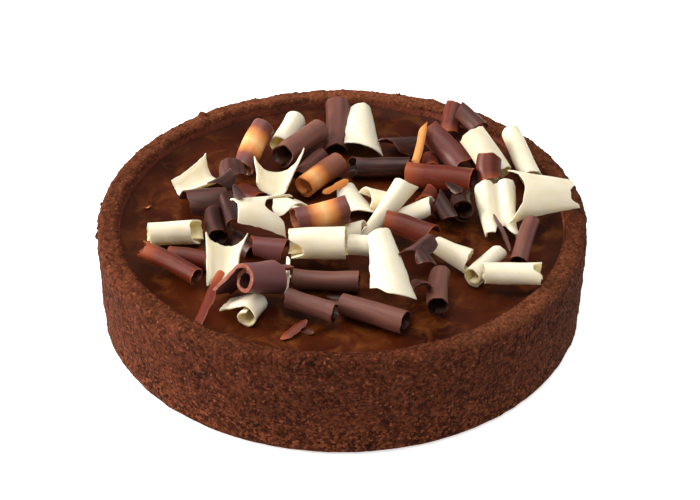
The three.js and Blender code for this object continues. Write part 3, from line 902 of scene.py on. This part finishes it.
def crossSection(shape, radius, width, v):
    # y and z of the sheet's outer face at share v of its width, and the way that face looks there
    if shape["lobes"] == 2:
        side = np.where(v < 0.5, 1, -1)
        crease = math.radians(sheetMake["crease"])
        angle = crease + math.pi * shape["turns"] * width * np.abs(2 * v - 1)
        middle = radius * math.cos(crease) + sheetMake["thickness"] / 2
        outY, outZ = -side * np.cos(angle), np.sin(angle)
        return side * middle + radius * outY, radius * outZ, outY, outZ
    rolled = rolledWidth(shape, radius)
    across = v * (rolled + shape["tail"]) / rolled
    turn = shape["turns"] * width * (np.minimum(across, 1) - 0.5)
    r = radius - sheetMake["pitch"] * (shape["turns"] / 2 - turn)
    angle = math.pi / 2 + 2 * math.pi * turn
    outY, outZ = np.cos(angle), np.sin(angle)
    straight = np.maximum(0, across - 1) * rolled
    return r * outY - straight * outZ, r * outZ + straight * outY, outY, outZ


def sheetPoints(kind, length, radius, u, v, side, wear=None):
    # u runs along the roll and v round it; side is 1 on the outer face and -1 on the inner one
    wear = wear or {}
    shape = {**plainKind, **kinds[kind]}
    edge = v - 0.5
    horn = (2 * edge) ** 2
    start = wear.get("start", 0) - length / 2 + shape["startSlant"] * edge - shape["startHorn"] * horn
    end = wear.get("end", 0) + length / 2 + shape["endSlant"] * edge + shape["endHorn"] * horn
    along = start + (end - start) * u
    width = 1 - shape["waist"] * (1 - (2 * u - 1) ** 2) + wear.get("waver", 0)
    wider = radius * (1 + shape["flare"] * (along / length + 0.5)) + wear.get("dent", 0)
    y, z, outY, outZ = crossSection(shape, wider, width, v)
    inward = (1 - side) * sheetMake["thickness"] * wear.get("thin", 1) / 2
    bow = wear.get("bow", 0) * (1 - (2 * along / length) ** 2)
    return np.stack([along, y - outY * inward + bow, z - outZ * inward], -1)


def plainSheet(kind, length, radius):
    # the corners of the frame's own solid
    shape = {**plainKind, **kinds[kind]}
    turns = shape["turns"] * (1 + shape["tail"] / rolledWidth(shape, radius))
    across = 2 * max(2, math.floor(turns * sheetMake["solidStepsPerTurn"] / 2 + 0.5))
    u, v = np.meshgrid(np.linspace(0, 1, shape["sections"] + 1), np.linspace(0, 1, across + 1), indexing="ij")
    return np.concatenate([sheetPoints(kind, length, radius, u, v, side).reshape(-1, 3) for side in (1, -1)])


def turnOf(heading, spin, tilt):
    return np.array(Euler([math.radians(a) for a in (spin, -tilt, heading)], "XYZ").to_matrix())


def poseOf(node, kind, heading, spin, length, radius):
    # the turn and the place that put the curl where its node is: the tilt is the one whose box fits best
    low, high = (np.array(corner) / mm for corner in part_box(node))
    corners = plainSheet(kind, length, radius)
    best = None
    widest = sheetMake["widestTilt"]
    for tilt in range(-widest, widest + 1, sheetMake["tiltStep"]):
        turn = turnOf(heading, spin, tilt)
        turned = corners @ turn.T
        miss = np.abs(np.ptp(turned, axis=0) - (high - low)).max()
        if best is None or miss < best[0]:
            best = (miss, turn, (low + high) / 2 - (turned.min(0) + turned.max(0)) / 2)
    if best[0] > sheetMake["misfit"]:
        print("curl", node, "fits its node only to", round(best[0], 3), "mm")
    return best[1], best[2]


def sheetFaces(along, across):
    # outer face, inner face and the four edges between them
    at = np.arange(2 * (along + 1) * (across + 1)).reshape(2, along + 1, across + 1)
    outer, inner = at
    quads = [
        (outer[:-1, :-1], outer[:-1, 1:], outer[1:, 1:], outer[1:, :-1]),
        (inner[:-1, :-1], inner[1:, :-1], inner[1:, 1:], inner[:-1, 1:]),
        (outer[0, :-1], inner[0, :-1], inner[0, 1:], outer[0, 1:]),
        (outer[-1, :-1], outer[-1, 1:], inner[-1, 1:], inner[-1, :-1]),
        (outer[:-1, 0], outer[1:, 0], inner[1:, 0], inner[:-1, 0]),
        (outer[:-1, -1], inner[:-1, -1], inner[1:, -1], outer[1:, -1]),
    ]
    return [face for quad in quads for face in np.stack([corner.ravel() for corner in quad], 1).tolist()]


def wornSheet(kind, length, radius, seed, bite=None, thickEdge=None):
    # the fine sheet of one curl before it is turned into place, with what its material reads
    shape = {**plainKind, **kinds[kind]}
    arc = shape["lobes"] * (rolledWidth(shape, radius * (1 + shape["flare"] / 2)) + shape["tail"])
    along = max(sheetMake["fewestSteps"], round(length / sheetMake["step"]))
    across = max(sheetMake["fewestSteps"], round(arc / sheetMake["step"]))
    u, v = np.meshgrid(np.linspace(0, 1, along + 1), np.linspace(0, 1, across + 1), indexing="ij")
    acrossMm, alongMm = v * arc, u * length
    none = np.zeros_like(u)
    onAcross = np.stack([acrossMm, none, none], -1)
    onAlong = np.stack([alongMm, none, none], -1)
    onSheet = np.stack([alongMm, acrossMm, none], -1)

    def uneven(name, where, seedShift):
        depth, size = sheetMake[name]
        return depth * softNoise(where, size, seed + seedShift)

    def torn(seedShift):
        depth, size = sheetMake["tear"]
        seeded = seed + seedShift
        return depth * (softNoise(onAcross, size, seeded) + 0.5 * softNoise(onAcross, size / 3, seeded))

    wear = {
        "start": torn(11),
        "end": torn(23),
        "waver": (uneven("waver", onAlong, 37) + uneven("fineWaver", onAlong, 41)) / arc * 2,
        "dent": uneven("dent", onSheet, 53) + uneven("facet", onAcross, 59),
        "bow": sheetMake["bow"] * (lattice(seed, 3, 9) - 0.5) * 2,
    }
    if bite:
        end, biteDepth, middle, reach = bite
        inwards = 1 if end == "start" else -1
        wear[end] = wear[end] + inwards * biteDepth * fade(1 - np.abs(v - middle) / reach, 0, 0.8)
    inset = np.minimum(np.minimum(alongMm, length - alongMm), np.minimum(acrossMm, arc - acrossMm))
    left, reach = sheetMake["thinEdge"]
    left = thickEdge or left
    wear["thin"] = (left + (1 - left) * fade(inset, 0, reach)) * (1 + uneven("thin", onSheet, 67))
    points = np.concatenate([sheetPoints(kind, length, radius, u, v, side, wear) for side in (1, -1)])
    points = points.reshape(-1, 3)
    # how strongly the inner face is painted as in the shade
    innerPaintedShade = 1 if shape["turns"] > sheetMake["rolledUp"] else sheetMake["openInner"]
    values = {
        "border": np.tile((1 - fade(inset, 0, sheetMake["border"])).ravel(), 2),
        "alongShare": np.tile(u.ravel(), 2),
        "inner": np.repeat([0, innerPaintedShade], u.size),
    }
    flat = np.tile(np.stack([alongMm.ravel() + 40 * lattice(seed, 1, 1), acrossMm.ravel()], 1), (2, 1))
    return points, sheetFaces(along, across), values, flat


def finishSheet(piece, flat):
    # the sheet's own coordinates as a UV map, in millimetres, and its sharp edges
    layer = piece.data.uv_layers.new(name="sheet")
    corners = np.zeros(len(piece.data.loops), np.int32)
    piece.data.loops.foreach_get("vertex_index", corners)
    layer.data.foreach_set("uv", flat[corners].astype(np.float32).ravel())
    piece.data.set_sharp_from_angle(angle=math.radians(sheetMake["sharp"]))
    return piece


def makeCurl(node, seed, kind, heading, spin, length, radius, tone):
    chocolate = node.split("_")[0]
    turn, place = poseOf(node, kind, heading, spin, length, radius)
    bite, thickEdge = bites.get(node), thickEdges.get(node)
    points, faces, values, flat = wornSheet(kind, length, radius, seed, bite, thickEdge)
    values["alongShare"] = values["alongShare"] + bandShift.get(node, 0)
    piece = makePiece(node.replace("shaving", "curl"), points @ turn.T + place, faces, chocolates[chocolate],
                      chocolate + "_chocolate", (node,), tone=tone, **values)
    return finishSheet(piece, flat)


curlPieces = [makeCurl(node, seed, *settings) for seed, (node, settings) in enumerate(curls.items(), 1)]
print("curls made:", len(curlPieces), "with", sum(len(p.data.polygons) for p in curlPieces), "faces")


# the small flakes and slivers that lie between the curls
# chocolate, kind, x, y, height of the middle (None: on what lies below), heading, spin, tilt, length,
# radius, tone
flakes = [
    ("dark", "sliver", 29.2, -5.4, None, -66, 60, -28, 8, 0.8, 0.3),
    ("dark", "sliver", -3.2, -24.3, None, 4, 0, 0, 8.5, 1.5, 0.4),
    ("dark", "sliver", 0.5, -23.6, 18.0, -8, 10, 0, 6.5, 1.0, 0),
    ("milk", "sliver", -23.3, -27.4, 19.9, -105, 30, -10, 15, 2.0, 1),
    ("milk", "sliver", -8.2, -33, None, 38, 10, 14, 5.6, 1.4, 0.9),
    ("milk", "sliver", -6.4, -32.4, None, -20, 30, 0, 3.4, 1.2, 0.4),
    ("white", "sliver", -9.6, -20.6, 20.6, -92, 75, -24, 7.6, 1.6, 0.5),
    ("white", "flake", -10.4, -17.6, None, -12, 0, 0, 3.2, 1.4, 0.5),
    ("white", "flake", -9.6, 2.4, None, -40, 0, 0, 5.2, 2.6, 0.5),
    ("white", "flake", -7.4, 5.2, None, -50, 10, 0, 3.6, 1.8, 0.5),
    ("white", "sliver", 9.5, 9.5, None, 60, 0, 0, 2.2, 0.9, 0.5),
    ("white", "sliver", 19.3, -8.2, None, 50, 40, 0, 1.8, 0.9, 0.5),
    ("white", "sliver", 33.3, -17.2, None, 80, 80, 20, 3, 1.2, 0.5),
    ("dark", "flake", 19.2, -0.4, None, -54, 50, -30, 4.2, 1.6, 0.1),
    ("dark", "sliver", 20.8, 4.6, None, -50, 20, 0, 4.4, 1.6, 0.0),
    ("dark", "flake", 14.6, -20.6, None, -70, 10, 0, 5, 1.5, 0.1),
    ("dark", "flake", -22.2, 4.4, None, 50, 30, 0, 4.4, 1.8, 0.1),
    ("dark", "sliver", -18.6, -5.8, None, -70, 30, 0, 5, 1.4, 0.1),
    ("caramel", "sliver", -1.2, 9.4, None, 44, 60, 0, 6.6, 1.1, 0.0),
    ("caramel", "sliver", -7.3, 4.6, None, 30, 30, 0, 3.4, 1.3, 0.3),
    ("milk", "flake", 15.6, 4.6, None, 60, 10, 0, 3.6, 1.6, 1),
    ("caramel", "sliver", -36.4, 5.7, None, 20, 0, 0, 1.1, 0.6, 0.2),
]


def groundTree(pieces):
    # all that lies there already, to drop the flakes on
    points, faces = [], []
    for piece in pieces:
        start = len(points)
        corners = np.zeros(3 * len(piece.data.vertices), np.float32)
        piece.data.vertices.foreach_get("co", corners)
        points += (corners.reshape(-1, 3) / mm).tolist()
        faces += [[corner + start for corner in face.vertices] for face in piece.data.polygons]
    return BVHTree.FromPolygons(points, faces)


def dropped(points, tree):
    # lets the points down until the first of them all but touches
    above = 60
    lift = 0.03
    rise = [-99]
    for x, y, z in points.tolist():
        hit = tree.ray_cast(Vector((x, y, above)), Vector((0, 0, -1)))[0]
        if hit:
            rise.append(hit.z - z)
    return points + np.array([0, 0, max(rise) + lift])


def makeFlakes(chocolate, tree):
    made = []
    for seed, (own, kind, x, y, height, heading, spin, tilt, length, radius, tone) in enumerate(flakes, 101):
        if own == chocolate:
            points, faces, values, flat = wornSheet(kind, length, radius, seed)
            place = points @ turnOf(heading, spin, tilt).T
            place = place - (place.min(0) + place.max(0)) / 2 + np.array([x, y, height or 0])
            if height is None:
                place = dropped(place, tree)
            made.append((place, faces, {**values, "tone": np.full(len(points), tone)}, flat))
    starts = np.cumsum([0] + [len(part[0]) for part in made])
    faces = []
    for start, part in zip(starts, made):
        faces += [[corner + int(start) for corner in face] for face in part[1]]
    values = {label: np.concatenate([part[2][label] for part in made]) for label in made[0][2]}
    piece = makePiece(chocolate + "_flakes", np.concatenate([part[0] for part in made]), faces,
                      chocolates[chocolate], chocolate + "_chocolate", **values)
    finishSheet(piece, np.concatenate([part[3] for part in made]))


ground = groundTree([ganachePiece] + curlPieces)
for chocolate in chocolates:
    makeFlakes(chocolate, ground)
print("flakes made:", len(flakes))
